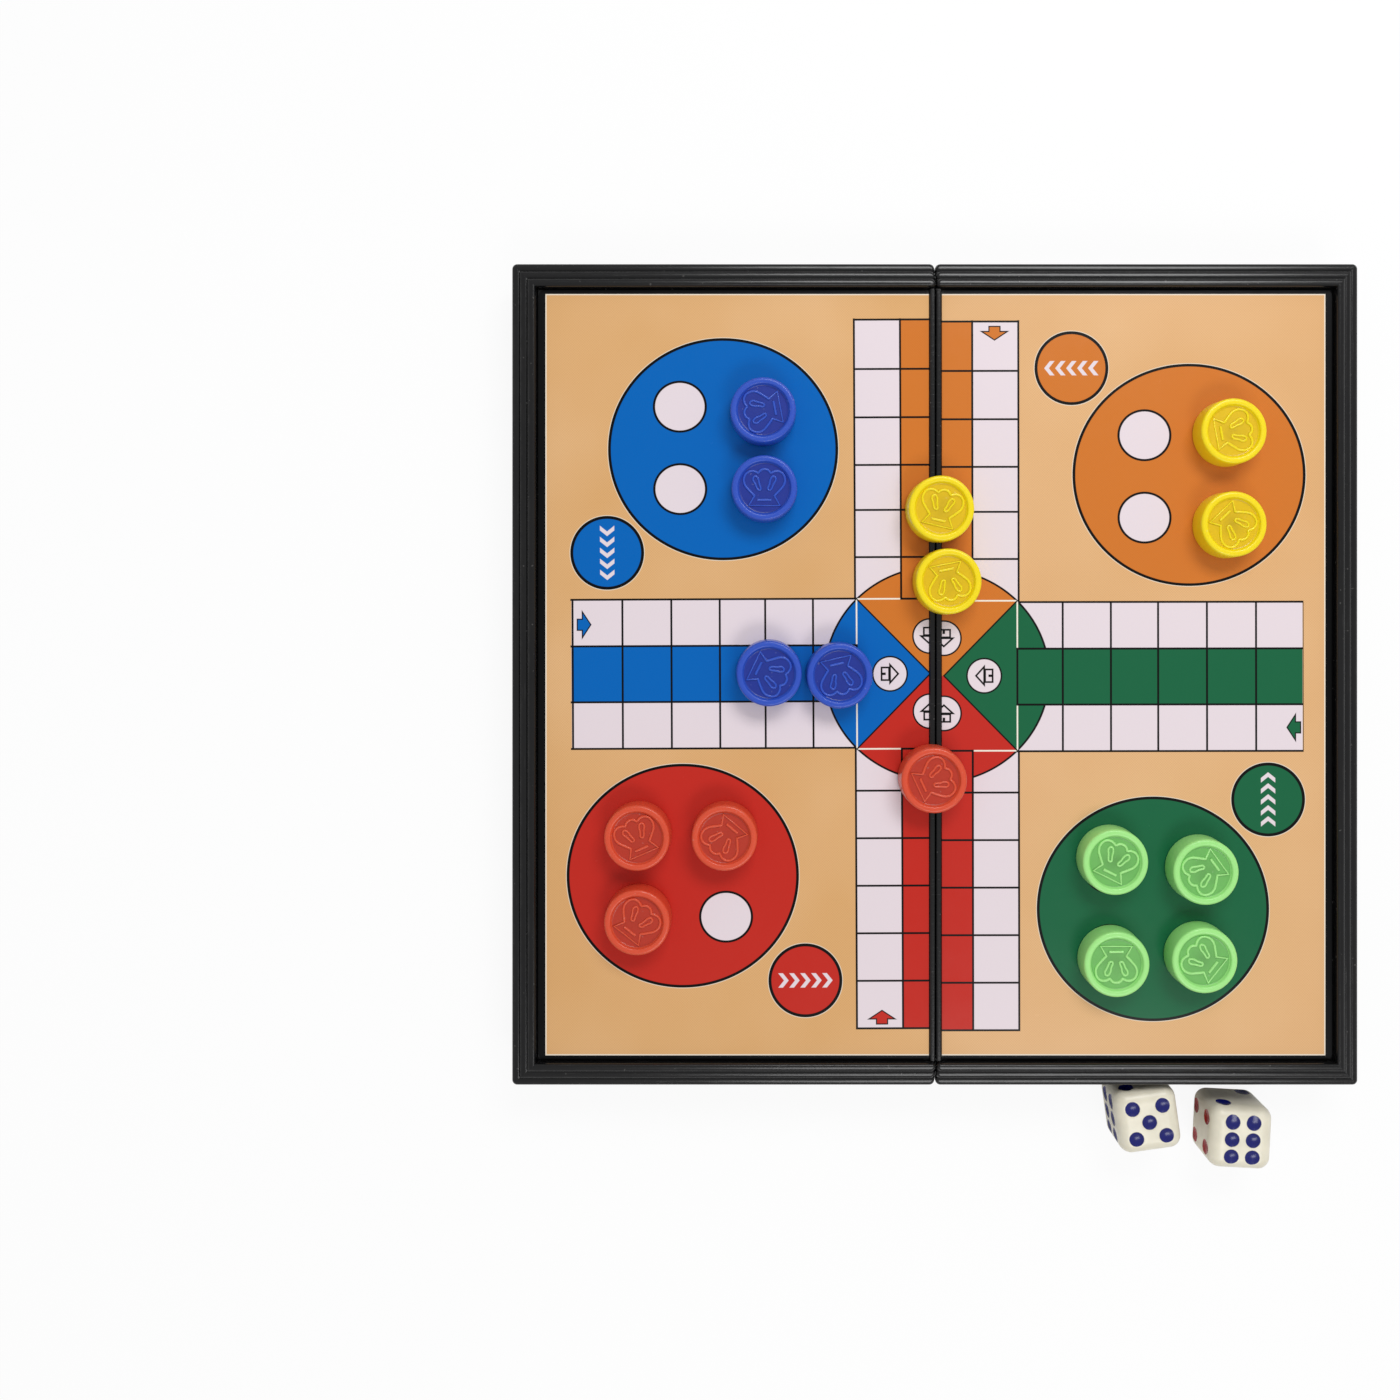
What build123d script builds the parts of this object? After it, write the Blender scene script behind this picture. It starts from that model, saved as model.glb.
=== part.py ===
from build123d import *
import os

# Folding case for a four-player race game, opened flat for play. Two hollow plastic trays
# are hinged along the seam between them. Their closed backs face up and carry the playing
# surface, and their open sides lie on the table. Folded, the open sides meet and the two
# trays make a box that holds the counters and the dice.
#
# Millimetres. The origin is on the table under the middle of the seam. +X runs to the
# right-hand tray, +Y away from the player and +Z up.

# Trays
tray_reach = 100.4          # seam plane to the outer face
tray_length = 195.0         # along the seam
rim_height = 18.0           # table to the top of the frame
seam_gap = 0.2              # between the trays, open and folded
outer_wall = 1.8
seam_wall = 1.3
deck_thickness = 1.5
recess_depth = 2.25         # frame top down to the deck that carries the steel plate
hollow_corner_radius = 1.2

# Frame round each playing surface: three treads that step down to the outside
outer_tread = 2.0
middle_tread = 2.0
inner_tread = 2.1
step_drop = 1.2
bead_round = 0.8            # outer edge of each tread
lip_round = 0.7             # inner edge of the top tread
outer_corner_radius = 1.2
seam_corner_radius = 1.2

# Low ridge between the frame's ends, along the seam
ridge_rise = 1.15           # above the deck
ridge_round = 0.45

# Scoop for a fingertip at the middle of the outer wall's open edge
scoop_width = 26.0
scoop_depth = 2.2
scoop_round = 2.0

# Hinge: a link on two pins at each end of the seam
pivot_inset = 3.0           # seam plane to a pin's axis
hinge_setback = 13.0        # tray's end to the middle of a link
link_width = 12.0
link_eye_radius = 2.3
link_web = 3.2
pin_radius = 0.9
pin_running_clearance = 0.06
pin_seat_clearance = 0.02
ear_thickness = 2.2
link_side_clearance = 0.3
link_top_clearance = 0.5

# Steel plate and printed sheet in each recess
plate_thickness = 0.3
plate_clearance = 0.3
plate_corner_radius = 1.5
sheet_thickness = 0.15
sheet_seam_margin = 0.15
sheet_outer_margin = 2.0
sheet_end_margin = 1.3

# Magnetic counters
counter_radius = 7.8
counter_top_radius = 7.6
counter_height = 6.2
counter_foot_bevel = 0.3
counter_rim_width = 1.4     # flat top between the outside and the dish
counter_rim_bevel = 0.3
dish_depth = 0.9
dish_draft = 0.25
magnet_radius = 5.8
magnet_thickness = 2.6
magnet_clearance = 0.05
magnet_foot_gap = 0.2       # magnet's face above the counter's foot

# Where the counters stand, as (x, y) of their centres
counter_places = {
    "blue": [(-40.8, 61.8), (-40.5, 43.7), (-39.4, 0.6), (-23.0, 0.1)],
    "yellow": [(68.5, 56.9), (68.5, 35.3), (0.5, 38.9), (2.2, 22.0)],
    "red": [(-1.2, -24.1), (-70.1, -37.6), (-49.8, -37.6), (-70.1, -57.2)],
    "green": [(41.0, -43.2), (62.0, -45.5), (41.3, -66.9), (61.7, -66.0)],
}

# Dice
die_edge = 15.0
die_round = 2.0
die_corner_radius = 10.8    # ball that the corners are tumbled down to
pip_radius = 1.85           # mouth of each drilled pip
pip_depth = 0.5
pip_floor_radius = 1.1
ace_radius = 2.7
pip_spread = 3.6
six_spread = 2.5
six_pitch = 4.1
die_gap = 1.5               # between the frame and the nearer die
# x of the centre, setback behind the nearer die, turn about +Z, then the number of pips
# on the faces +Z, -Y, +X, -Z, +Y and -X
dice_set = {
    "left_die": (51.1, 0.0, 8.0, "541236"),
    "right_die": (73.2, 4.2, -3.0, "653124"),
}

# Derived sizes
seam_face = seam_gap / 2
half_length = tray_length / 2
treads = [outer_tread, middle_tread, inner_tread]
frame_width = sum(treads)
frame_steps = [
    (sum(treads[:number]), rim_height - (len(treads) - 1 - number) * step_drop)
    for number in range(len(treads))
]
deck_top = rim_height - recess_depth
ceiling = deck_top - deck_thickness
ridge_top = deck_top + ridge_rise
recess_reach = tray_reach - frame_width
recess_half_length = half_length - frame_width
recess_start = seam_face + seam_wall
sheet_top = deck_top + plate_thickness + sheet_thickness
pivot_height = pivot_inset - seam_gap / 2
foot_radius = pivot_height  # the seam wall's foot rolls round the pin
link_places = [-(half_length - hinge_setback), half_length - hinge_setback]
notch_width = link_width + 2 * link_side_clearance
notch_top = pivot_height + link_eye_radius + link_top_clearance
pin_length = notch_width + 2 * ear_thickness


def span(low, high):
    """A centre and a length from two ends."""
    return (low + high) / 2, high - low


def right_hand_tray():
    with BuildPart() as tray:
        # Stacked blocks make the stepped frame, each with its top edge rounded.
        for inset, top in frame_steps:
            middle, reach = span(seam_face, tray_reach - inset)
            with BuildSketch() as outline:
                with Locations((middle, 0)):
                    Rectangle(reach, tray_length - 2 * inset)
                fillet(outline.vertices().group_by(Axis.X)[0], radius=seam_corner_radius)
                if inset == 0:
                    fillet(outline.vertices().group_by(Axis.X)[-1], radius=outer_corner_radius)
            extrude(amount=top)
            fillet(tray.faces().sort_by(Axis.Z)[-1].edges(), radius=bead_round)

        # The foot at the seam is round about the hinge pins, so the trays roll past each other.
        with BuildSketch(Plane.XZ) as side:
            with Locations((seam_face, 0)):
                Rectangle(tray_reach, rim_height, align=(Align.MIN, Align.MIN))
            fillet(side.vertices().sort_by(lambda v: v.X + v.Y)[0], radius=foot_radius)
        extrude(amount=tray_length, both=True, mode=Mode.INTERSECT)

        # Hollow underneath
        middle, reach = span(recess_start, tray_reach - outer_wall)
        with BuildSketch() as hollow:
            with Locations((middle, 0)):
                Rectangle(reach, tray_length - 2 * outer_wall)
            fillet(hollow.vertices(), radius=hollow_corner_radius)
        extrude(amount=ceiling, mode=Mode.SUBTRACT)

        # Recess for the plate and the sheet, open to the seam until the ridge closes it
        middle, reach = span(0, recess_reach)
        with BuildSketch(Plane.XY.offset(deck_top)):
            with Locations((middle, 0)):
                Rectangle(reach, 2 * recess_half_length)
        extrude(amount=recess_depth, mode=Mode.SUBTRACT)
        lip = [
            edge
            for edge in tray.edges().group_by(Axis.Z)[-1]
            if edge.center().X < recess_reach + lip_round / 2
            and abs(edge.center().Y) < recess_half_length + lip_round / 2
        ]
        fillet(lip, radius=lip_round)
        with BuildSketch(Plane.XZ) as ridge:
            with Locations((seam_face, ceiling)):
                Rectangle(seam_wall, ridge_top - ceiling, align=(Align.MIN, Align.MIN))
            fillet(ridge.vertices().group_by(Axis.Y)[-1], radius=ridge_round)
        extrude(amount=recess_half_length, both=True)

        # Fingertip scoop
        with BuildSketch(Plane.YZ.offset(tray_reach)) as scoop:
            Rectangle(scoop_width, 2 * scoop_depth)
            fillet(scoop.vertices(), radius=scoop_round)
        extrude(amount=-2 * outer_wall, mode=Mode.SUBTRACT)

        # Notches that let the links through, with an ear on each side for the pin
        for place in link_places:
            middle, reach = span(-seam_wall, recess_start + seam_wall)
            with BuildSketch():
                with Locations((middle, place)):
                    Rectangle(reach, notch_width)
            extrude(amount=notch_top, mode=Mode.SUBTRACT)
            for side_sign in (-1, 1):
                ear_middle = place + side_sign * (notch_width + ear_thickness) / 2
                with BuildSketch(Plane.XZ.offset(-ear_middle)):
                    with Locations((pivot_inset, pivot_height)):
                        Circle(foot_radius)
                    with Locations((seam_face, pivot_height)):
                        Rectangle(
                            2 * foot_radius, ceiling - pivot_height, align=(Align.MIN, Align.MIN)
                        )
                extrude(amount=ear_thickness / 2, both=True)
            with BuildSketch(Plane.XZ.offset(-place)):
                with Locations((pivot_inset, pivot_height)):
                    Circle(pin_radius + pin_seat_clearance)
            extrude(amount=pin_length / 2, both=True, mode=Mode.SUBTRACT)
    return tray


def thin_panel(low_x, high_x, half_y, bottom, thickness, corner):
    middle, reach = span(low_x, high_x)
    with BuildPart() as panel:
        with BuildSketch(Plane.XY.offset(bottom)) as outline:
            with Locations((middle, 0)):
                Rectangle(reach, 2 * half_y)
            if corner:
                fillet(outline.vertices(), radius=corner)
        extrude(amount=thickness)
    return panel


def hinge_pin(pivot_x, place):
    with BuildPart() as pin:
        with BuildSketch(Plane.XZ.offset(-place)):
            with Locations((pivot_x, pivot_height)):
                Circle(pin_radius)
        extrude(amount=pin_length / 2, both=True)
    return pin


def hinge_link(place):
    with BuildPart() as link:
        with BuildSketch(Plane.XZ.offset(-place)):
            with Locations((0, pivot_height)):
                Rectangle(2 * pivot_inset, link_web)
            with Locations((-pivot_inset, pivot_height), (pivot_inset, pivot_height)):
                Circle(link_eye_radius)
            with Locations((-pivot_inset, pivot_height), (pivot_inset, pivot_height)):
                Circle(pin_radius + pin_running_clearance, mode=Mode.SUBTRACT)
        extrude(amount=link_width / 2, both=True)
    return link


def section_plane(x, y, z):
    """Upright plane through a point, for a profile turned about the point's vertical."""
    return Plane(origin=(x, y, z), x_dir=(1, 0, 0), z_dir=(0, -1, 0))


def counter_shell(x, y, foot):
    dish_radius = counter_top_radius - counter_rim_width
    dish_floor = counter_height - dish_depth
    pocket_radius = magnet_radius + magnet_clearance
    pocket_top = magnet_foot_gap + magnet_thickness
    with BuildPart() as shell:
        with BuildSketch(section_plane(x, y, foot)) as profile:
            with BuildLine():
                Polyline(
                    (0, 0),
                    (counter_radius - counter_foot_bevel, 0),
                    (counter_radius, counter_foot_bevel),
                    (counter_top_radius, counter_height),
                    (dish_radius, counter_height),
                    (dish_radius - dish_draft, dish_floor),
                    (0, dish_floor),
                    close=True,
                )
            make_face()
            chamfer(profile.vertices().group_by(Axis.Y)[-1], length=counter_rim_bevel)
            Rectangle(pocket_radius, pocket_top, align=(Align.MIN, Align.MIN), mode=Mode.SUBTRACT)
        revolve(axis=Axis((x, y, foot), (0, 0, 1)))
    return shell


def counter_magnet(x, y, foot):
    with BuildPart() as magnet:
        with BuildSketch(Plane.XY.offset(foot + magnet_foot_gap)):
            with Locations((x, y)):
                Circle(magnet_radius)
        extrude(amount=magnet_thickness)
    return magnet


def pip_cells(value):
    """Centres of the pips of one face, from the middle of that face."""
    corner = pip_spread
    cells = {
        1: [(0, 0)],
        2: [(-corner, -corner), (corner, corner)],
        3: [(-corner, -corner), (0, 0), (corner, corner)],
        4: [(x, y) for x in (-corner, corner) for y in (-corner, corner)],
        6: [(x, y) for x in (-six_spread, six_spread) for y in (-six_pitch, 0, six_pitch)],
    }
    cells[5] = cells[4] + cells[1]
    return cells[value]


def die(x, y, turn, values):
    # Each face's plane looks outwards from the middle of the cube.
    face_turns = [(0, 0, 0), (90, 0, 0), (0, 90, 0), (180, 0, 0), (-90, 0, 0), (0, -90, 0)]
    place = Location((x, y, die_edge / 2), (0, 0, turn))
    with BuildPart() as cube:
        with Locations(place):
            Box(die_edge, die_edge, die_edge)
        fillet(cube.edges(), radius=die_round)
        with Locations(place):
            Sphere(die_corner_radius, mode=Mode.INTERSECT)
        for face_turn, value in zip(face_turns, values):
            mouth = ace_radius if value == "1" else pip_radius
            face = place * Location((0, 0, 0), face_turn)
            middle = (die_edge - pip_depth) / 2
            spots = [face * Location((u, v, middle)) for u, v in pip_cells(int(value))]
            with Locations(*spots):
                Cone(mouth - pip_radius + pip_floor_radius, mouth, pip_depth, mode=Mode.SUBTRACT)
    return cube


def mirrored(builder):
    with BuildPart() as other:
        add(builder.part)
        mirror(about=Plane.YZ, mode=Mode.REPLACE)
    return other


nodes = {}
nodes["right_tray"] = right_hand_tray()
nodes["left_tray"] = mirrored(nodes["right_tray"])

nodes["right_steel_plate"] = thin_panel(
    recess_start + plate_clearance,
    recess_reach - plate_clearance,
    recess_half_length - plate_clearance,
    deck_top,
    plate_thickness,
    plate_corner_radius,
)
nodes["left_steel_plate"] = mirrored(nodes["right_steel_plate"])
nodes["right_play_sheet"] = thin_panel(
    recess_start + sheet_seam_margin,
    recess_reach - sheet_outer_margin,
    recess_half_length - sheet_end_margin,
    deck_top + plate_thickness,
    sheet_thickness,
    0,
)
nodes["left_play_sheet"] = mirrored(nodes["right_play_sheet"])

for end, place in zip(("front", "rear"), link_places):
    nodes[f"hinge_link_{end}"] = hinge_link(place)
    nodes[f"left_hinge_pin_{end}"] = hinge_pin(-pivot_inset, place)
    nodes[f"right_hinge_pin_{end}"] = hinge_pin(pivot_inset, place)

for colour, places in counter_places.items():
    for number, (x, y) in enumerate(places, start=1):
        # A counter that stands across the seam rests on the two ridges.
        on_ridges = abs(x) < recess_start + counter_radius
        foot = ridge_top if on_ridges else sheet_top
        nodes[f"{colour}_counter_{number}"] = counter_shell(x, y, foot)
        nodes[f"{colour}_counter_{number}_magnet"] = counter_magnet(x, y, foot)

for name, (x, setback, turn, values) in dice_set.items():
    y = -(half_length + die_gap + setback + die_edge / 2)
    nodes[name] = die(x, y, turn, values)

os.makedirs("parts", exist_ok=True)
for name, node in nodes.items():
    node.part.label = name
    export_step(node.part, f"parts/{name}.step")
print(f"{len(nodes)} nodes")
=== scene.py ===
import math

import bmesh
import bpy
from mathutils import Matrix, Vector


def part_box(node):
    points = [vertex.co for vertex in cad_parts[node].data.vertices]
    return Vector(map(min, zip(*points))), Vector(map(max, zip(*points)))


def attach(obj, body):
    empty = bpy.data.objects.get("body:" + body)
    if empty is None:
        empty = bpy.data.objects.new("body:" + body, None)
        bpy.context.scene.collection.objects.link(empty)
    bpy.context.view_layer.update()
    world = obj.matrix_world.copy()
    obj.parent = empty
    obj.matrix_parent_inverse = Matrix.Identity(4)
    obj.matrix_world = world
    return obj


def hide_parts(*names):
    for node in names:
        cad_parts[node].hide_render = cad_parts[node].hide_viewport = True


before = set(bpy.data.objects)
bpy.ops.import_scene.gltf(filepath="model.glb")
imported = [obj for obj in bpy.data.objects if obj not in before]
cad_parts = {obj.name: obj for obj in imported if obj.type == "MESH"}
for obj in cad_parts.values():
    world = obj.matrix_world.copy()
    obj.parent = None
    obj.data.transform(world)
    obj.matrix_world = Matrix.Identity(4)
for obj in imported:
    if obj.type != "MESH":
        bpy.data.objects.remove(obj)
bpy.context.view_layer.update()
print("frame loaded:", len(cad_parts), "nodes")

mm = 0.001


def dye(red, green, blue):
    # a screen colour, 0 to 255, as the linear one that a shader takes
    shares = [c / 255 for c in (red, green, blue)]
    linear = [s / 12.92 if s < 0.04045 else ((s + 0.055) / 1.055) ** 2.4 for s in shares]
    return (*linear, 1.0)


# ---- shader kit ----

class Wire:
    # One socket in a material's node tree. Sums written on wires add Math nodes.
    def __init__(self, tree, socket=None):
        self.tree = tree
        self.socket = socket

    def node(self, kind, settings, values, output=0):
        made = self.tree.nodes.new(kind)
        for name, setting in settings.items():
            setattr(made, name, setting)
        for name, value in values.items():
            if isinstance(value, Wire):
                self.tree.links.new(value.socket, made.inputs[name])
            else:
                made.inputs[name].default_value = value
        return Wire(self.tree, made.outputs[output] if made.outputs else None)

    def maths(self, operation, *values, clamp=False):
        settings = {"operation": operation, "use_clamp": clamp}
        return self.node("ShaderNodeMath", settings, dict(enumerate(values)))

    def vector(self, operation, *values, output=0):
        settings = {"operation": operation}
        return self.node("ShaderNodeVectorMath", settings, dict(enumerate(values)), output)

    def __add__(self, other):
        return self.maths("ADD", self, other)

    __radd__ = __add__

    def __sub__(self, other):
        return self.maths("SUBTRACT", self, other)

    def __rsub__(self, other):
        return self.maths("SUBTRACT", other, self)

    def __mul__(self, other):
        return self.maths("MULTIPLY", self, other)

    __rmul__ = __mul__

    def __gt__(self, other):
        return self.maths("GREATER_THAN", self, other)

    def __abs__(self):
        return self.maths("ABSOLUTE", self)


def highest(first, *others):
    for other in others:
        first = first.maths("MAXIMUM", first, other)
    return first


def lowest(first, *others):
    for other in others:
        first = first.maths("MINIMUM", first, other)
    return first


def ramped(value, low, high):
    # 0 up to low, 1 from high on
    return value.maths("MULTIPLY_ADD", value, 1 / (high - low), -low / (high - low), clamp=True)


def mixed(under, over, share):
    return share.node("ShaderNodeMix", {"data_type": "RGBA"}, {0: share, 6: under, 7: over}, 2)


def noise(point, scale, detail=2.0, roughness=0.5):
    values = {"Vector": point, "Scale": scale, "Detail": detail, "Roughness": roughness}
    return point.node("ShaderNodeTexNoise", {}, values)


def newMaterial(name):
    material = bpy.data.materials.new(name)
    material.use_nodes = True
    material.node_tree.nodes.clear()
    start = Wire(material.node_tree)
    place = start.node("ShaderNodeTexCoord", {}, {}, "Object")
    point = place.vector("MULTIPLY", place, (1000, 1000, 1000))  # in millimetres
    return material, point


def finishMaterial(material, point, values, height=None, relief=0.02):
    # relief is the height of the bump's tallest grain, in millimetres
    if height is not None:
        bump = {"Strength": 1.0, "Distance": relief * mm, "Height": height}
        values["Normal"] = point.node("ShaderNodeBump", {}, bump)
    surface = point.node("ShaderNodeBsdfPrincipled", {}, values)
    point.node("ShaderNodeOutputMaterial", {}, {"Surface": surface})
    return material


def axes(point, names="XYZ"):
    return [point.node("ShaderNodeSeparateXYZ", {}, {"Vector": point}, axis) for axis in names]


def weight(point, layer):
    # a vertex layer of the piece's own mesh
    return point.node("ShaderNodeAttribute", {"attribute_name": layer}, {}, "Fac")


# ---- finishes of the carried-over pieces ----

trayFinish = {
    "black": dye(9, 9, 11),
    "dust": dye(120, 118, 116),
    "treads": (0.0, 2.0, 4.0),  # how far in from the outside each tread's nose stands
    "nose": 0.8,
    "grooves": (2.0, 4.0, 6.1),  # each tread falls away to a groove at its inner side
    "fall": 0.7,
    "slope": (1.3, 0.5),         # and a little towards its nose, between these distances from it
    "grooveEdge": 0.25,          # and climbs steeply out of it
    "slopeShare": 0.5,           # of the groove's depth
    "crown": 0.2,
    "crownFrom": 10.0,           # the treads lie above this height
    "roughness": 0.15,
    "specular": 0.42,
}


def trayPlastic():
    style = trayFinish
    material, point = newMaterial("black tray plastic")
    x, y, z = axes(point)
    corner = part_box("right_tray")[1]
    fromSide, fromEnd = corner.x / mm - abs(x), corner.y / mm - abs(y)
    inset = lowest(fromSide, fromEnd)
    grain = noise(point, 2.6, 3.0)
    cloud = noise(point, 0.05, 2.0)
    # Hairline scratches and ripples run along the frame's rails.
    onSide = fromEnd > fromSide
    alongSide = point.vector("MULTIPLY", point, (4.0, 0.12, 4.0))
    alongEnd = point.vector("MULTIPLY", point, (0.12, 4.0, 4.0))
    lengthways = mixed(alongEnd, alongSide, onSide)
    scratches = ramped(noise(lengthways, 1.0, 1.0), 0.68, 0.75)
    ripple = noise(lengthways, 0.35, 2.0)
    specks = ramped(noise(point, 1.3, 0.0), 0.82, 0.86)
    dip = None
    for groove in style["grooves"]:
        inwards = ramped(inset, groove - style["fall"], groove)
        outwards = ramped(inset, groove + style["grooveEdge"], groove)
        trough = lowest(inwards, outwards)
        dip = trough if dip is None else highest(dip, trough)
    crown = dip * dip
    for start in style["treads"]:
        near, far = style["slope"]
        slope = ramped(inset, start + near, start + far)
        crown = crown + slope * slope * style["slopeShare"]
    crown = crown * (z > style["crownFrom"])
    nose = None
    for start in style["treads"]:
        middle = start + style["nose"] / 2
        band = ramped(abs(inset - middle), style["nose"] * 0.7, 0.0)
        nose = band if nose is None else highest(nose, band)
    rub = nose * ramped(noise(point, 0.35, 3.0), 0.45, 0.7)
    dusty = scratches * 0.05 + specks * 0.3 + rub * 0.05 + cloud * 0.02
    colour = mixed(style["black"], style["dust"], dusty)
    roughness = style["roughness"] + grain * 0.12 + scratches * 0.1 - rub * 0.06
    values = {"Base Color": colour, "Roughness": roughness, "Specular IOR Level": style["specular"]}
    relief = grain * 0.02 + ripple * 0.07 - scratches * 0.02 - crown
    return finishMaterial(material, point, values, relief, style["crown"])


def linkPlastic():
    material, point = newMaterial("black link plastic")
    grain = noise(point, 3.4, 3.0)
    wear = ramped(noise(point, 0.8, 2.0), 0.5, 0.75)
    colour = mixed(dye(27, 27, 29), dye(62, 61, 60), wear * 0.4)
    values = {"Base Color": colour, "Roughness": 0.4 + grain * 0.2}
    return finishMaterial(material, point, values, grain, 0.01)


def drawnSteel(name, along, tone=1.0):
    # Steel with the fine lines of drawing or rolling along one axis.
    material, point = newMaterial(name)
    streaks = noise(point.vector("MULTIPLY", point, along), 1.0, 4.0)
    stain = ramped(noise(point, 0.12, 3.0), 0.4, 0.7)
    bright, dull = [dye(*(c * tone for c in steel)) for steel in ((172, 174, 178), (128, 130, 136))]
    colour = mixed(bright, dull, streaks * 0.7 + stain * 0.2)
    values = {"Base Color": colour, "Metallic": 1.0, "Roughness": 0.22 + streaks * 0.25}
    return finishMaterial(material, point, values, streaks, 0.004)


def ferrite():
    material, point = newMaterial("sintered magnet")
    grain = noise(point, 4.0, 5.0, 0.65)
    chips = ramped(noise(point, 1.1, 2.0), 0.62, 0.7)
    colour = mixed(dye(58, 57, 60), dye(96, 94, 95), grain * 0.7 + chips * 0.3)
    values = {"Base Color": colour, "Roughness": 0.5 + grain * 0.25, "Metallic": 0.25}
    return finishMaterial(material, point, values, grain - chips, 0.03)


# ---- printed playing sheets ----

printInks = {
    "ground": {"left": dye(223, 174, 116), "right": dye(226, 178, 124)},
    "blue": dye(0, 101, 186),
    "orange": dye(211, 121, 46),
    "green": dye(20, 101, 65),
    "red": dye(196, 44, 34),
    "white": dye(231, 218, 224),
    "line": dye(7, 5, 5),
    # pale: the print's gaps and borders, and the line along the cut edge, which is partly a painted glint
    "edge": dye(246, 240, 226),
}

sheetFilm = {
    "specular": {"left": 0.15, "right": 0.22},
    "roughness": 0.2,
    "waviness": 0.12,    # height of the film's ripples, in millimetres
    "weavePitch": 10.5,  # the halftone's phase, in radians a millimetre
    "weaveTint": dye(150, 60, 10),
    "weaveShare": 0.15,
    # the brightly lit tan of the painted sheen patches
    "sheenTint": dye(238, 196, 148),
}

# The traditional track, in millimetres from the middle of the board. "across" is the
# distance from an arm's middle line, and "along" the distance from the board's middle.
track = {
    "line": 0.48,
    "lines": {
        "home": 0.68, "dot": 0.55, "start": 0.72, "arrow": 0.28, "goal": 0.38, "block": 0.36, "slant": 0.35,
    },
    "softEdge": 0.1,
    "halo": 0.15,
    "shift": 0.4,        # both sheets are printed a little to the right
    "apex": 1.6,         # where the four triangles end, at the seam
    "upright": {
        "lane": 8.42, "arm": 19.33, "start": 17.75, "end": 83.9,
        "rungs": (83.84, 72.15, 60.71, 49.44, 38.79, 27.63, -27.65, -38.9, -50.15, -61.4, -72.65, -83.9),
    },
    "level": {"lane": 6.62, "arm": 17.65, "start": 19.0, "end": 86.5},
    "discRadii": (26.5, 25.3),
    "goalRadius": 4.26,
    "goalAlong": {"upright": 8.9, "level": 11.15},
    "dotSpread": (10.2, 9.75),
    "dotRadii": (6.4, 6.15),
    "startRadius": 8.75,
}

# The small signs, in millimetres: half widths across their direction, and reaches along it
signs = {
    "chevron": {"sweep": 0.8, "shift": 0.7, "pitch": 2.6, "thick": 1.1, "half": 1.7, "reach": 6.0},
    "arrow": {"shaftHalf": 1.45, "shaftAt": -0.75, "shaftReach": 1.0, "taper": 1.52, "headHalf": 2.7,
              "lean": 0.55, "headFrom": -0.55},
    "house": {"half": 1.7, "wallAt": 1.1, "pitch": 1.1, "eaves": 2.45, "lean": 0.67, "roofTo": 0.2,
              "line": 0.42, "doorHalf": 0.3, "doorAt": 1.5, "doorReach": 0.5},
}

# What each sheet's two quarters hold. Places are (x, y) in millimetres, and "towards" is
# the way that a start sign and an entry arrow point.
sheetPrints = {
    "left": {
        "sign": -1, "drop": 0.27, "turn": 0.0045, "level": "blue", "laneDrop": 0.45,
        "rungs": (86.22, 74.42, 62.84, 51.38, 40.62, 29.31),
        "quarters": [
            {"ink": "blue", "home": (-50.0, 53.6), "radii": (27.25, 26.3), "dots": (0.0, 0.35),
             "start": (-77.55, 29.2), "startTowards": (0, -1), "arrow": (-83.1, 12.2), "towards": (1, 0)},
            {"ink": "red", "home": (-60.0, -47.3), "radii": (27.5, 26.5), "dots": (0.0, 0.0),
             "start": (-31.1, -72.2), "startTowards": (1, 0), "arrow": (-13.0, -81.0), "towards": (0, 1)},
        ],
    },
    "right": {
        "sign": 1, "drop": -0.27, "turn": 0.0015, "level": "green", "laneDrop": -0.5,
        "rungs": (86.8, 75.5, 63.88, 52.32, 41.15, 29.75),
        "quarters": [
            {"ink": "orange", "home": (60.1, 47.2), "radii": (27.6, 26.3), "dots": (-0.35, -0.35),
             "start": (32.3, 72.5), "startTowards": (-1, 0), "arrow": (14.1, 80.8), "towards": (0, -1)},
            {"ink": "green", "home": (51.4, -55.5), "radii": (27.5, 26.6), "dots": (0.0, 0.0),
             "start": (78.7, -29.65), "startTowards": (0, 1), "arrow": (84.8, -12.6), "towards": (-1, 0)},
        ],
    },
}


def within(distance):
    # 1 inside an outline, given the distance outside it
    soft = track["softEdge"]
    return distance.maths("MULTIPLY_ADD", distance, -1 / soft, 0.5, clamp=True)


def stroke(distance, width=track["line"]):
    return within(abs(distance) - width / 2)


def spotAt(spot, centre, radii):
    # distance outside an ellipse, right at its outline
    wide, high = radii
    flattened = spot.vector("MULTIPLY", spot, (1, wide / high, 0))
    middle = (centre[0], centre[1] * wide / high, 0)
    return spot.vector("DISTANCE", flattened, middle, output=1) - wide


def local(spot, centre, towards):
    # coordinates about a sign's middle: along its direction, and across it
    away = spot.vector("SUBTRACT", spot, (*centre, 0))
    along = spot.vector("DOT_PRODUCT", away, (*towards, 0), output=1)
    across = spot.vector("DOT_PRODUCT", away, (-towards[1], towards[0], 0), output=1)
    return along, abs(across)


def outlined(colour, distance, ink, width, halo=0.0):
    # a filled shape, a dark line just inside its edge, and outside it the pale gap of a
    # print slightly out of register
    if halo:
        colour = mixed(colour, printInks["edge"], within(distance - halo) * 0.8)
    colour = mixed(colour, printInks["line"], within(distance))
    return mixed(colour, ink, within(distance + width))


def nearest(along, places):
    return lowest(*(abs(along - place) for place in places))


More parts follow.
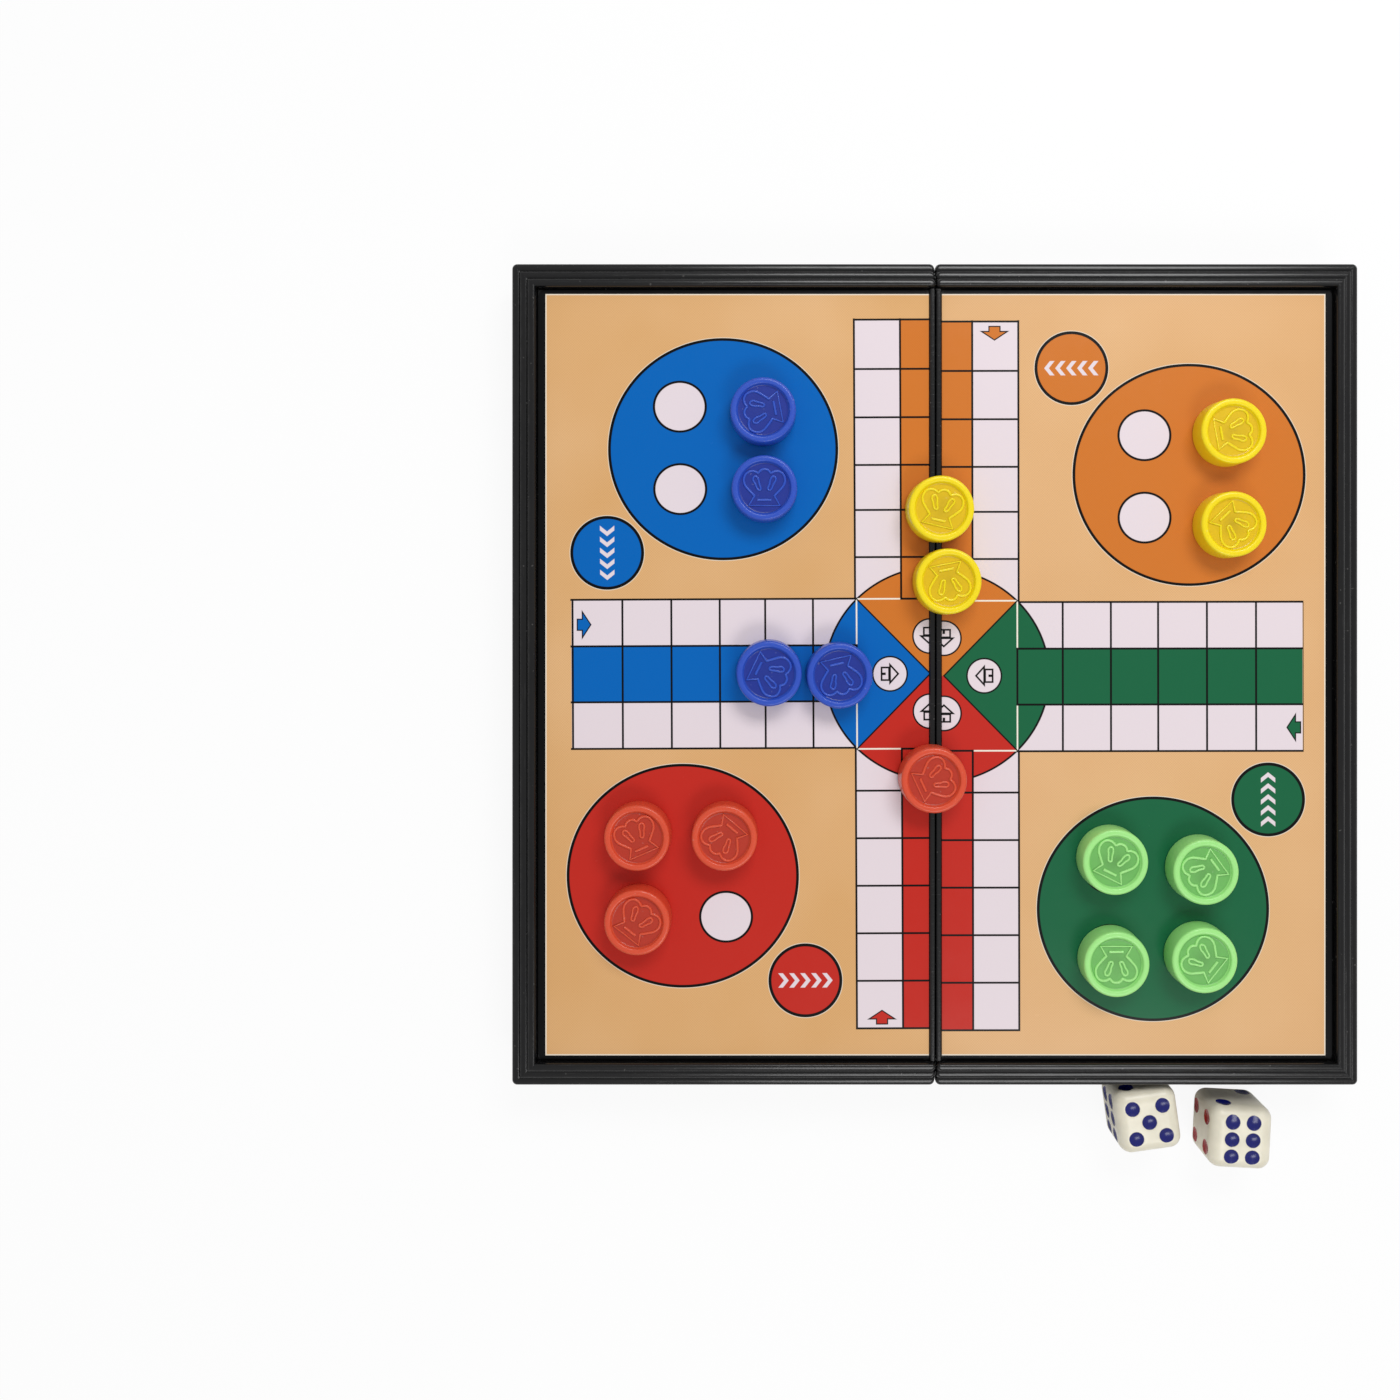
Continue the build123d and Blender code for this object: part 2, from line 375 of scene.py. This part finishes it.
def drawArm(colour, across, along, rung, arm, laneInk):
    middle, half = (arm["start"] + arm["end"]) / 2, (arm["end"] - arm["start"]) / 2
    reach = abs(along - middle) - half
    colour = mixed(colour, printInks["white"], within(highest(across - arm["arm"], reach)))
    colour = mixed(colour, laneInk, within(highest(across - arm["lane"], reach)))
    rail = lowest(abs(across - arm["lane"]), abs(across - arm["arm"]), rung)
    rail = highest(rail, across - arm["arm"], reach) - track["line"] / 2
    return mixed(colour, printInks["line"], within(rail))


def drawHouse(colour, along, across):
    # a small house in outline with its door, and its roof towards the board's middle
    house = signs["house"]
    walls = highest(across - house["half"], abs(along - house["wallAt"]) - house["wallAt"])
    slope = (across - along * house["pitch"] - house["eaves"]) * house["lean"]
    roof = highest(slope, along - house["roofTo"])
    outline = abs(lowest(walls, roof) + house["line"] / 2) - house["line"] / 2
    door = highest(across - house["doorHalf"], abs(along - house["doorAt"]) - house["doorReach"])
    return mixed(colour, printInks["line"], within(lowest(outline, door)))


def drawGoal(colour, spot, centre, towards):
    radius = track["goalRadius"]
    disc = spotAt(spot, centre, (radius, radius))
    colour = outlined(colour, disc, printInks["white"], track["lines"]["goal"])
    along, across = local(spot, centre, towards)
    return drawHouse(colour, along, across)


def drawStart(colour, spot, quarter, ink):
    # a disc with five chevrons
    style = signs["chevron"]
    radius = track["startRadius"]
    disc = spotAt(spot, quarter["start"], (radius, radius))
    colour = outlined(colour, disc, ink, track["lines"]["start"], track["halo"])
    along, across = local(spot, quarter["start"], quarter["startTowards"])
    swept = along + across * style["sweep"] - style["shift"]
    bars = swept.maths("PINGPONG", swept, style["pitch"] / 2) - style["thick"] / 2
    sign = highest(bars, across - style["half"], abs(swept) - style["reach"])
    return mixed(colour, printInks["white"], within(sign))


def drawArrow(colour, spot, quarter, ink):
    along, across = local(spot, quarter["arrow"], quarter["towards"])
    style = signs["arrow"]
    shaft = highest(across - style["shaftHalf"], abs(along - style["shaftAt"]) - style["shaftReach"])
    slope = (across + along * style["taper"] - style["headHalf"]) * style["lean"]
    head = highest(slope, style["headFrom"] - along)
    return outlined(colour, lowest(shaft, head), ink, track["lines"]["arrow"])


def printedSheet(side):
    layout = sheetPrints[side]
    material, point = newMaterial(f"{side} printed sheet")
    # The print sits a little off square on its plate.
    placed = point.node(
        "ShaderNodeMapping",
        {"vector_type": "TEXTURE"},
        {"Vector": point, "Location": (track["shift"], 0, 0), "Rotation": (0, 0, layout["turn"])},
    )
    x, y = axes(placed, "XY")
    out = x * layout["sign"]
    height = y - layout["drop"]
    up = abs(height)
    beside = abs(y - layout["laneDrop"])
    spot = point.node("ShaderNodeCombineXYZ", {}, {"X": x + track["shift"], "Y": y})
    upper = height > 0
    uprightInk = mixed(printInks["red"], printInks["orange"], upper)
    levelInk = printInks[layout["level"]]
    upright, level = track["upright"], track["level"]

    # Lighter patches at random over the ground, in the tan of its most brightly lit corner: a painted
    # sheen.
    cloud = noise(point, 0.03, 2.0)
    sheenPatches = ramped(cloud, 0.35, 0.8) * 0.5
    colour = mixed(printInks["ground"][side], sheetFilm["sheenTint"], sheenPatches)
    for quarter in layout["quarters"]:
        ink = printInks[quarter["ink"]]
        home = spotAt(spot, quarter["home"], quarter["radii"])
        colour = outlined(colour, home, ink, track["lines"]["home"], track["halo"])
        middle = [a + b for a, b in zip(quarter["home"], quarter["dots"])]
        folded = spot.vector("ABSOLUTE", spot.vector("SUBTRACT", spot, (*middle, 0)))
        dots = spotAt(folded, track["dotSpread"], track["dotRadii"])
        colour = outlined(colour, dots, printInks["white"], track["lines"]["dot"])
        colour = drawStart(colour, spot, quarter, ink)

    colour = drawArm(colour, out, up, nearest(height, upright["rungs"]), upright, uprightInk)
    colour = drawArm(colour, beside, out, nearest(out, layout["rungs"]), level, levelInk)
    for quarter in layout["quarters"]:
        colour = drawArrow(colour, spot, quarter, printInks[quarter["ink"]])

    # The disc behind the middle block, cut into the four sides' colours
    disc = spotAt(spot, (track["shift"], layout["drop"]), track["discRadii"])
    slope = upright["start"] / (level["start"] - track["apex"])
    diagonal = (up - (out - track["apex"]) * slope) * math.cos(math.atan(slope))
    colour = mixed(colour, mixed(levelInk, uprightInk, diagonal > 0), within(disc))
    inLane = within(lowest(out - upright["lane"], beside - level["lane"]))
    colour = mixed(colour, printInks["line"], stroke(disc) * (1 - inLane))
    block = highest(out - level["start"], up - upright["start"])
    colour = mixed(colour, printInks["edge"], stroke(block, track["lines"]["block"]) * within(disc))
    colour = mixed(colour, printInks["line"], stroke(block) * within(disc) * inLane)
    lanes = lowest(
        highest(abs(out - upright["lane"]), upright["start"] - up),
        highest(abs(beside - level["lane"]), level["start"] - out),
    )
    colour = mixed(colour, printInks["line"], within(lanes - track["line"] / 2) * within(disc))
    colour = mixed(colour, printInks["line"], stroke(diagonal, track["lines"]["slant"]) * within(block))
    goal = track["goalAlong"]
    folded = point.node("ShaderNodeCombineXYZ", {}, {"X": out, "Y": up})
    colour = drawGoal(colour, folded, (track["apex"], goal["upright"]), (0, 1))
    colour = drawGoal(colour, folded, (goal["level"], 0), (1, 0))

    # Halftone weave, which shows on the warm inks alone
    weave = [point.maths("SINE", way * sheetFilm["weavePitch"]) for way in (x, y)]
    green, blue = [
        point.node("ShaderNodeSeparateColor", {}, {"Color": colour}, tone) for tone in ("Green", "Blue")
    ]
    warm = ramped(green - blue, 0.06, 0.2)
    woven = ramped(weave[0] * weave[1], -0.2, 0.6) * warm * sheetFilm["weaveShare"]
    colour = mixed(colour, sheetFilm["weaveTint"], woven)

    # A pale line runs along the sheet's cut edge, but not along the seam: partly the sheet's pale core,
    # partly a painted glint where the edge catches the light.
    low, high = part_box(f"{side}_play_sheet")
    centre, half = (low + high) / 2 / mm, (high - low) / 2 / mm
    px, py = axes(point, "XY")
    rim = highest(abs(px) - abs(centre.x) - half.x, abs(py - centre.y) - half.y)
    colour = mixed(colour, printInks["edge"], ramped(rim, -0.35, -0.2) * 0.8)

    ripple = noise(point, 0.06, 1.0)
    smear = noise(point, 0.35, 4.0)
    values = {
        "Base Color": colour,
        "Roughness": sheetFilm["roughness"] + smear * 0.1,
        "Specular IOR Level": sheetFilm["specular"][side],
    }
    return finishMaterial(material, point, values, ripple + smear * 0.03, sheetFilm["waviness"])


def dress(node, material):
    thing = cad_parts[node]
    thing.data.materials.clear()
    thing.data.materials.append(material)


black = trayPlastic()
blackLink = linkPlastic()
pinSteel = drawnSteel("bright pin steel", (6.0, 0.3, 6.0))
plateSteel = drawnSteel("rolled plate steel", (0.2, 4.0, 4.0), 0.2)
magnetFinish = ferrite()
for side in ("left", "right"):
    dress(f"{side}_tray", black)
    dress(f"{side}_steel_plate", plateSteel)
    dress(f"{side}_play_sheet", printedSheet(side))
    for end in ("front", "rear"):
        dress(f"{side}_hinge_pin_{end}", pinSteel)
for end in ("front", "rear"):
    dress(f"hinge_link_{end}", blackLink)
print("trays, hinges and printed sheets dressed")


def closedMesh(name, bm):
    for face in bm.faces:
        face.smooth = True
    mesh = bpy.data.meshes.new(name)
    bm.to_mesh(mesh)
    bm.free()
    return mesh


# ---- magnetic counters ----

counterShape = {
    "footRadius": 7.8,
    "topRadius": 7.6,
    "height": 6.2,
    "footBevel": 0.3,
    "rimWidth": 1.4,
    "rimRound": 0.6,
    "dishDepth": 0.9,
    "dishDraft": 0.25,
    "pocketRadius": 5.85,
    "pocketTop": 2.8,
    "steps": 96,
    "lineRadius": 0.34,    # the raised lines of the crown
    "tearRadius": 0.28,
    "magnetShade": 4.2,    # the magnet shows through the dish as far out as this
}

# Right half of the crown, from the middle of its foot round to the top of its middle lobe:
# x, y and whether the line turns a corner there
crownHalf = [
    (3.65, -4.05, True), (2.3, -1.8, True), (3.5, -0.55, False), (4.6, 0.9, False), (4.75, 2.3, False),
    (4.0, 3.6, False), (2.7, 3.95, False), (1.45, 3.5, True), (0.8, 4.2, False),
]
crownTop = (0.0, 4.4, False)
crownTear = [
    (1.0, -0.45, False), (1.2, 1.0, False), (1.55, 2.3, False), (2.15, 2.75, False),
    (2.65, 2.2, False), (2.2, 1.1, False),
]
crownBar = {"y": -2.75, "reach": 1.65}

# Turn of each counter's crown about the vertical, in degrees, its plastic as lit on the rim
# and darker in the dish as painted shade, and how far the magnet shows through them
counterSets = {
    "blue": {
        "turns": (101, 0, -116, -167), "magnet": 0.1,
        "rim": dye(46, 84, 194), "dish": dye(22, 44, 142),
    },
    "yellow": {
        "turns": (-80, -136, -13, -169), "magnet": 0.4,
        "rim": dye(248, 224, 16), "dish": dye(222, 184, 0),
    },
    "red": {
        "turns": (-65, 24, 140, -38), "magnet": 0.1,
        "rim": dye(222, 82, 52), "dish": dye(180, 48, 28),
    },
    "green": {
        "turns": (-26, 126, 180, 52), "magnet": 0.4,
        "rim": dye(168, 238, 142), "dish": dye(106, 178, 90),
    },
}


def roundCorner(bm, verts, size, segments):
    bmesh.ops.bevel(
        bm, geom=verts, offset=size, offset_type="OFFSET", affect="VERTICES",
        segments=segments, profile=0.5, material=-1,
    )


def turnedShell():
    shape = counterShape
    dishRadius = shape["topRadius"] - shape["rimWidth"]
    floor = shape["height"] - shape["dishDepth"]
    outline = [
        ((0, shape["pocketTop"]), 0), ((shape["pocketRadius"], shape["pocketTop"]), 0),
        ((shape["pocketRadius"], 0), 0.12),
        ((shape["footRadius"] - shape["footBevel"], 0), 0.12),
        ((shape["footRadius"], shape["footBevel"]), 0.15),
        ((shape["topRadius"], shape["height"]), shape["rimRound"]),
        ((dishRadius, shape["height"]), 0.3),
        ((dishRadius - shape["dishDraft"], floor), 0.35),
        ((dishRadius - 0.8, floor), 0), ((shape["magnetShade"], floor), 0), ((0, floor), 0),
    ]
    bm = bmesh.new()
    verts = [bm.verts.new((r * mm, 0, z * mm)) for (r, z), size in outline]
    for first, second in zip(verts, verts[1:]):
        bm.edges.new((first, second))
    for vert, (_, size) in zip(verts, outline):
        if size:
            roundCorner(bm, [vert], size * mm, 5 if size > 0.5 else 3)
    bmesh.ops.spin(
        bm, geom=bm.verts[:] + bm.edges[:], cent=(0, 0, 0), axis=(0, 0, 1), dvec=(0, 0, 0),
        angle=2 * math.pi, steps=shape["steps"], use_merge=True,
    )
    bmesh.ops.remove_doubles(bm, verts=bm.verts[:], dist=1e-7)
    bmesh.ops.recalc_face_normals(bm, faces=bm.faces[:])
    shade = bm.verts.layers.float.new("dishShade")
    magnet = bm.verts.layers.float.new("magnetShade")
    # Painted shade: vertices on the dish floor are marked to take the darker dish colour, while those above
    # it keep the rim's lit colour.
    for vert in bm.verts:
        out = math.hypot(vert.co.x, vert.co.y) / mm
        if vert.co.z > (floor - 0.1) * mm and out < dishRadius - 0.2:
            vert[shade] = 0.0 if vert.co.z > (floor + 0.12) * mm else 1.0
            vert[magnet] = max(0.0, 1 - out / shape["magnetShade"])
    return bm


def raisedLine(points, closed, radius=counterShape["lineRadius"]):
    # A raised line of the crown, half sunk into the dish: a rounded bead along a smooth path.
    floor = counterShape["height"] - counterShape["dishDepth"]
    curve = bpy.data.curves.new("crown line", "CURVE")
    curve.dimensions = "3D"
    curve.bevel_depth = radius * mm
    curve.bevel_resolution = 1
    curve.resolution_u = 5
    curve.use_fill_caps = True
    spline = curve.splines.new("BEZIER")
    spline.bezier_points.add(len(points) - 1)
    spline.use_cyclic_u = closed
    for knot, (x, y, corner) in zip(spline.bezier_points, points):
        knot.co = (x * mm, y * mm, floor * mm)
        knot.handle_left_type = knot.handle_right_type = "VECTOR" if corner else "AUTO"
    line = bpy.data.objects.new("crown line", curve)
    mesh = bpy.data.meshes.new_from_object(line)
    bpy.data.objects.remove(line)
    bpy.data.curves.remove(curve)
    return mesh


def mirroredPoints(points):
    return [(-x, y, corner) for x, y, corner in reversed(points)]


def counterMesh():
    bm = turnedShell()
    bar = crownBar
    lines = [
        raisedLine([*crownHalf, crownTop, *mirroredPoints(crownHalf)], True),
        raisedLine(crownTear, True, counterShape["tearRadius"]),
        raisedLine(mirroredPoints(crownTear), True, counterShape["tearRadius"]),
        raisedLine([(-bar["reach"], bar["y"], True), (bar["reach"], bar["y"], True)], False),
    ]
    # The raised lines carry no dish shade, so they take the rim's lit colour: a painted highlight on the
    # lines.
    for line in lines:
        bm.from_mesh(line)
        bpy.data.meshes.remove(line)
    return closedMesh("counter", bm)


def counterPlastic(colour):
    style = counterSets[colour]
    material, point = newMaterial(f"{colour} counter plastic")
    shade = weight(point, "dishShade")
    magnet = weight(point, "magnetShade")
    swirl = noise(point, 0.25, 3.0)
    grain = noise(point, 3.2, 2.0)
    # Painted shade: the dish floor is darkened from the rim's lit colour, and the rim and raised lines keep
    # the lit colour as a painted highlight; the swirl adds random mottling.
    tint = mixed(style["rim"], style["dish"], shade * 0.85 + swirl * 0.15)
    tint = mixed(tint, dye(40, 40, 30), magnet * swirl * style["magnet"])
    specks = ramped(noise(point, 1.2, 0.0), 0.8, 0.83)
    tint = mixed(tint, dye(235, 235, 235), specks * 0.08)
    values = {
        "Base Color": tint,
        "Roughness": 0.28 + grain * 0.1,
        "Specular IOR Level": 0.35,
        "Subsurface Weight": 0.12,
        "Subsurface Radius": (1.0, 1.0, 1.0),
        "Subsurface Scale": 1.2 * mm,
        "Coat Weight": 0.15,
        "Coat Roughness": 0.12,
    }
    return finishMaterial(material, point, values, grain, 0.006)


pattern = counterMesh()
for colour, style in counterSets.items():
    plastic = counterPlastic(colour)
    for number, turn in enumerate(style["turns"], start=1):
        node = f"{colour}_counter_{number}"
        low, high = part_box(node)
        foot = Vector(((low.x + high.x) / 2, (low.y + high.y) / 2, low.z))
        mesh = pattern.copy()
        mesh.transform(Matrix.Translation(foot) @ Matrix.Rotation(math.radians(turn), 4, "Z"))
        mesh.materials.append(plastic)
        counter = bpy.data.objects.new(f"{node}_crowned", mesh)
        bpy.context.scene.collection.objects.link(counter)
        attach(counter, node)
        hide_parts(node)
        dress(f"{node}_magnet", magnetFinish)
bpy.data.meshes.remove(pattern)
print("sixteen counters turned")


# ---- dice ----

diceShape = {
    "edge": 15.0,
    "round": 3.0,
    "ball": 11.0,         # the corners are tumbled down to a ball of this radius
    "cuts": 63,
    "pipRadius": 1.85,
    "aceRadius": 2.7,
    "pipDepth": 0.55,
    "spread": 3.6,
    "sixSpread": 2.5,
    "sixPitch": 4.1,
    "farReach": 3.0,      # the furthest that the painted edge of a pip is looked for
    "faceDepth": 1.5,     # a vertex this far below a face isn't part of it
}

# Turn about the vertical in degrees, and the pips on the faces +Z, -Y, +X, -Z, +Y and -X
diceSet = {
    "left_die": {"turn": 8.0, "faces": "541236"},
    "right_die": {"turn": -3.0, "faces": "653124"},
}


def pipCentres(value):
    s, a, b = diceShape["spread"], diceShape["sixSpread"], diceShape["sixPitch"]
    four = [(x, y) for x in (-s, s) for y in (-s, s)]
    return {
        "1": [(0, 0)],
        "2": [(-s, -s), (s, s)],
        "3": [(-s, -s), (0, 0), (s, s)],
        "4": four,
        "5": [*four, (0, 0)],
        "6": [(x, y) for x in (-a, a) for y in (-b, 0, b)],
    }[value]


def dieMesh(name, faces):
    shape = diceShape
    half = shape["edge"] / 2
    # Each face's own axes, and outwards, in the order of the faces' string
    sides = [
        ((1, 0, 0), (0, 1, 0), (0, 0, 1)), ((1, 0, 0), (0, 0, 1), (0, -1, 0)),
        ((0, 0, -1), (0, 1, 0), (1, 0, 0)), ((1, 0, 0), (0, -1, 0), (0, 0, -1)),
        ((1, 0, 0), (0, 0, -1), (0, 1, 0)), ((0, 0, 1), (0, 1, 0), (-1, 0, 0)),
    ]
    pips = []
    for value, (u, v, outward) in zip(faces, sides):
        radius = shape["aceRadius"] if value == "1" else shape["pipRadius"]
        for a, b in pipCentres(value):
            centre = Vector(u) * a + Vector(v) * b + Vector(outward) * half
            pips.append((centre, radius, Vector(outward), 1.0 if value in "14" else 0.0))
    bm = bmesh.new()
    bmesh.ops.create_cube(bm, size=shape["edge"])
    bmesh.ops.subdivide_edges(bm, edges=bm.edges[:], cuts=shape["cuts"], use_grid_fill=True)
    reachLayer = bm.verts.layers.float.new("pipReach")
    redLayer = bm.verts.layers.float.new("pipRed")
    core = half - shape["round"]
    for vert in bm.verts:
        spot = vert.co.copy()
        inner = Vector([max(-core, min(core, c)) for c in spot])
        away = spot - inner
        rounded = inner + away.normalized() * shape["round"]
        if rounded.length > shape["ball"]:
            rounded *= shape["ball"] / rounded.length
        # reach is how far the nearest pip's middle is, in radii of that pip
        reach, red, dent = shape["farReach"], 0.0, Vector()
        for centre, radius, outward, isRed in pips:
            if rounded.dot(outward) < half - shape["faceDepth"]:
                continue
            offset = rounded - centre
            flat = (offset - outward * offset.dot(outward)).length / radius
            if flat < reach:
                reach, red = flat, isRed
                dent = outward * -shape["pipDepth"] * max(0.0, 1 - flat * flat)
        vert.co = rounded + dent
        vert[reachLayer] = reach
        vert[redLayer] = red
    bmesh.ops.scale(bm, vec=(mm, mm, mm), verts=bm.verts[:])
    return closedMesh(name, bm)


def diePlastic():
    material, point = newMaterial("cream die plastic")
    reach = weight(point, "pipReach")
    red = weight(point, "pipRed")
    cloud = noise(point, 0.22, 3.0)
    grain = noise(point, 2.4, 3.0)
    body = mixed(dye(238, 232, 212), dye(214, 208, 188), ramped(cloud, 0.35, 0.75) * 0.6)
    wobble = reach + grain * 0.06
    paint = mixed(dye(14, 22, 112), dye(168, 14, 18), red)
    paint = mixed(paint, dye(8, 8, 40), ramped(grain, 0.4, 0.8) * 0.4)
    painted = ramped(wobble, 1.02, 0.95)
    colour = mixed(body, paint, painted)
    values = {
        "Base Color": colour,
        "Roughness": 0.26 + grain * 0.12 - painted * 0.08,
        "Subsurface Weight": 0.1,
        "Subsurface Radius": (1.0, 0.9, 0.7),
        "Subsurface Scale": 1.5 * mm,
    }
    return finishMaterial(material, point, values, grain, 0.012)


cream = diePlastic()
for node, style in diceSet.items():
    low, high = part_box(node)
    mesh = dieMesh(f"{node}_pipped", style["faces"])
    turn = Matrix.Rotation(math.radians(style["turn"]), 4, "Z")
    mesh.transform(Matrix.Translation((low + high) / 2) @ turn)
    mesh.materials.append(cream)
    die = bpy.data.objects.new(f"{node}_pipped", mesh)
    bpy.context.scene.collection.objects.link(die)
    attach(die, node)
    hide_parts(node)
print("dice cut")


# ---- floor, light and camera ----

studio = {
    "floorSize": 6.0,
    "worldStrength": 0.48,
    "floorGlow": 0.9,     # share of plain white in what the camera sees of the floor
    "lamps": {
        "key": {"place": (0.12, 0.36, 0.48), "size": (0.34, 0.2), "power": 1.7},
        "fill": {"place": (0.13, -0.43, 0.58), "size": (0.36, 0.2), "power": 1.25},
    },
}

viewpoint = {
    "place": (-41.5, 17.67, 318.0),   # millimetres, looking straight down
    "lens": 32.79,
    "sensor": 36.0,
    "shift": (-0.0429, -0.0714),
}


def layFloor():
    bm = bmesh.new()
    bmesh.ops.create_grid(bm, x_segments=1, y_segments=1, size=studio["floorSize"] / 2)
    mesh = bpy.data.meshes.new("floor")
    bm.to_mesh(mesh)
    bm.free()
    material, point = newMaterial("pale floor")
    paper = noise(point, 0.02, 2.0)
    values = {"Base Color": mixed(dye(250, 250, 250), dye(246, 246, 247), paper), "Roughness": 0.9}
    card = point.node("ShaderNodeBsdfPrincipled", {}, values)
    glow = point.node("ShaderNodeEmission", {}, {"Color": (1, 1, 1, 1), "Strength": 1.0})
    seen = point.node("ShaderNodeLightPath", {}, {}, "Is Camera Ray")
    share = seen * studio["floorGlow"]
    surface = share.node("ShaderNodeMixShader", {}, {0: share, 1: card, 2: glow})
    point.node("ShaderNodeOutputMaterial", {}, {"Surface": surface})
    mesh.materials.append(material)
    floor = bpy.data.objects.new("floor", mesh)
    bpy.context.scene.collection.objects.link(floor)


def hangLamps():
    for name, style in studio["lamps"].items():
        light = bpy.data.lights.new(name, "AREA")
        light.shape = "RECTANGLE"
        light.size, light.size_y = style["size"]
        light.energy = style["power"]
        lamp = bpy.data.objects.new(name, light)
        lamp.location = style["place"]
        lamp.rotation_euler = Vector(style["place"]).to_track_quat("Z", "Y").to_euler()
        bpy.context.scene.collection.objects.link(lamp)


def lightWorld():
    world = bpy.data.worlds.new("studio")
    world.use_nodes = True
    world.node_tree.nodes.clear()
    start = Wire(world.node_tree)
    seen = start.node("ShaderNodeLightPath", {}, {}, "Is Camera Ray")
    strength = seen * (1 - studio["worldStrength"]) + studio["worldStrength"]
    sky = seen.node("ShaderNodeBackground", {}, {"Color": (1, 1, 1, 1), "Strength": strength})
    seen.node("ShaderNodeOutputWorld", {}, {"Surface": sky})
    bpy.context.scene.world = world


def placeCamera():
    eye = bpy.data.cameras.new("overhead")
    eye.lens = viewpoint["lens"]
    eye.sensor_width = viewpoint["sensor"]
    eye.shift_x, eye.shift_y = viewpoint["shift"]
    camera = bpy.data.objects.new("overhead", eye)
    camera.location = Vector(viewpoint["place"]) * mm
    bpy.context.scene.collection.objects.link(camera)
    bpy.context.scene.camera = camera


layFloor()
hangLamps()
lightWorld()
placeCamera()
bpy.context.scene.view_settings.view_transform = "Standard"
print("floor, lamps and camera set")
